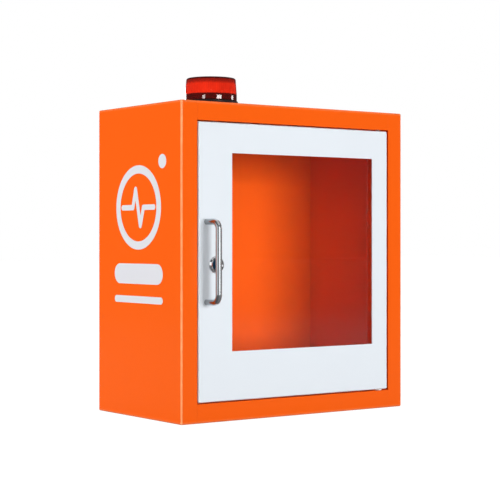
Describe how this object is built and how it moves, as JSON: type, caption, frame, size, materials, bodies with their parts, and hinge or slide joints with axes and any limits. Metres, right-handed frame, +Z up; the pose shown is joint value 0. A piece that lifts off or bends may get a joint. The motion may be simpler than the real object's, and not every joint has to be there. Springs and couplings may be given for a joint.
{
  "type": "defibrillator wall cabinet",
  "caption": "Wall cabinet for a portable defibrillator: folded steel box, windowed swing door with D-handle, cam lock and lift-off hinge pin, magnet catches, door alarm and roof beacon.",
  "frame": {"origin": "centre of the four wall bolts, on the outside of the cabinet's back", "axes": "+X to the right as someone facing the door sees it, +Y into the wall, +Z up"},
  "size_m": [0.3604, 0.23, 0.4409],
  "materials": {
    "orange_enamel": "smooth powder coat, semi-gloss",
    "white_enamel": "smooth powder coat, semi-gloss",
    "zinc_steel": "bright zinc plate",
    "satin_steel": "satin, brushed along the bar",
    "chrome_plate": "bright chrome plate",
    "spring_steel": "drawn wire",
    "clear_acrylic": "clear, polished",
    "red_lens": "clear red, ribbed inside",
    "foam_tape": "closed-cell foam",
    "black_rubber": "matte",
    "white_nylon": "machined nylon",
    "black_plastic": "fine moulded texture",
    "white_plastic": "fine moulded texture",
    "red_plastic": "moulded",
    "white_film": "cut vinyl film",
    "ferrite": "sintered ferrite",
    "circuit_board": "solder mask",
    "lamp_resin": "tinted resin",
    "cell_jacket": "printed jacket",
    "contact_plate": "nickel plate"
  },
  "bodies": {
    "cabinet": {"body_wrap": "orange_enamel", "top_panel": "orange_enamel", "bottom_panel": "orange_enamel", "upper_hinge_bush": "white_nylon", "lower_hinge_bush": "white_nylon", "left_marking": "white_film", "right_marking": "white_film", "catch_screws": "zinc_steel", "switch_bracket": "orange_enamel", "switch_body": "black_plastic", "switch_nut": "zinc_steel", "switch_spring": "spring_steel", "beacon_gasket": "black_rubber", "beacon_base": "black_plastic", "beacon_studs": "zinc_steel", "beacon_nuts": "zinc_steel", "beacon_board": "circuit_board", "beacon_tower": "white_plastic", "beacon_lamps": "lamp_resin", "cable_grommet": "black_rubber", "alarm_housing": "white_plastic", "alarm_studs": "zinc_steel", "alarm_nuts": "zinc_steel", "alarm_cover": "white_plastic", "cover_screws": "zinc_steel", "battery_tray": "black_plastic", "battery_cells": "cell_jacket", "battery_contacts": "contact_plate", "alarm_board": "circuit_board", "siren": "black_plastic", "rocker_frame": "black_plastic", "upper_catch_bracket": "orange_enamel", "lower_catch_bracket": "orange_enamel", "upper_catch_housing": "white_plastic", "lower_catch_housing": "white_plastic", "upper_catch_magnet": "ferrite", "lower_catch_magnet": "ferrite"},
    "door": {"door_panel": "white_enamel", "window_tape": "foam_tape", "window_pane": "clear_acrylic", "pane_clips": "zinc_steel", "clip_studs": "zinc_steel", "clip_nuts": "zinc_steel", "hinge_plate": "zinc_steel", "lower_hinge_pin": "zinc_steel", "hinge_bracket": "white_enamel", "upper_hinge_spring": "spring_steel", "door_handle": "satin_steel", "handle_washers": "zinc_steel", "handle_screws": "zinc_steel", "lock_housing": "chrome_plate", "lock_nut": "chrome_plate"},
    "sprung_pin": {"upper_hinge_pin": "zinc_steel"},
    "lock_rotor": {"lock_plug": "chrome_plate", "lock_cam": "zinc_steel", "lock_cam_screw": "zinc_steel"},
    "plunger": {"switch_plunger": "white_nylon"},
    "hatch": {"battery_hatch": "white_plastic"},
    "rocker": {"arm_rocker": "red_plastic"},
    "beacon_cap": {"beacon_lens": "red_lens"}
  },
  "joints": [
    {"name": "door_swing", "type": "hinge", "parent": "cabinet", "child": "door", "pos_m": [0.1435, -0.193, 0], "axis": [0, 0, 1], "range_deg": [0, 110]},
    {"name": "lock_turn", "type": "hinge", "parent": "door", "child": "lock_rotor", "pos_m": [-0.128, -0.2, -0.0035], "axis": [0, 1, 0], "range_deg": [0, 90]},
    {"name": "hinge_pin_retract", "type": "slide", "parent": "door", "child": "sprung_pin", "axis": [0, 0, -1], "range_m": [0, 0.007], "stiffness_N_per_m": 400, "springref_m": -0.01, "deforming": ["upper_hinge_spring"]},
    {"name": "switch_press", "type": "slide", "parent": "cabinet", "child": "plunger", "axis": [0, -1, 0], "range_m": [0, 0.004], "deforming": ["switch_spring"]},
    {"name": "battery_hatch_slide", "type": "slide", "parent": "cabinet", "child": "hatch", "axis": [0, -1, 0], "range_m": [0, 0.045]},
    {"name": "arming_rock", "type": "hinge", "parent": "cabinet", "child": "rocker", "pos_m": [-0.105, -0.144, 0.1818], "axis": [1, 0, 0], "range_deg": [0, 16]},
    {"name": "lens_twist", "type": "hinge", "parent": "cabinet", "child": "beacon_cap", "pos_m": [-0.067, -0.1, 0.2], "axis": [0, 0, 1], "range_deg": [0, 18]}
  ],
  "couplings": [
    {"joint": "switch_press", "follows": "door_swing", "m_per_rad": 0.00208}
  ]
}
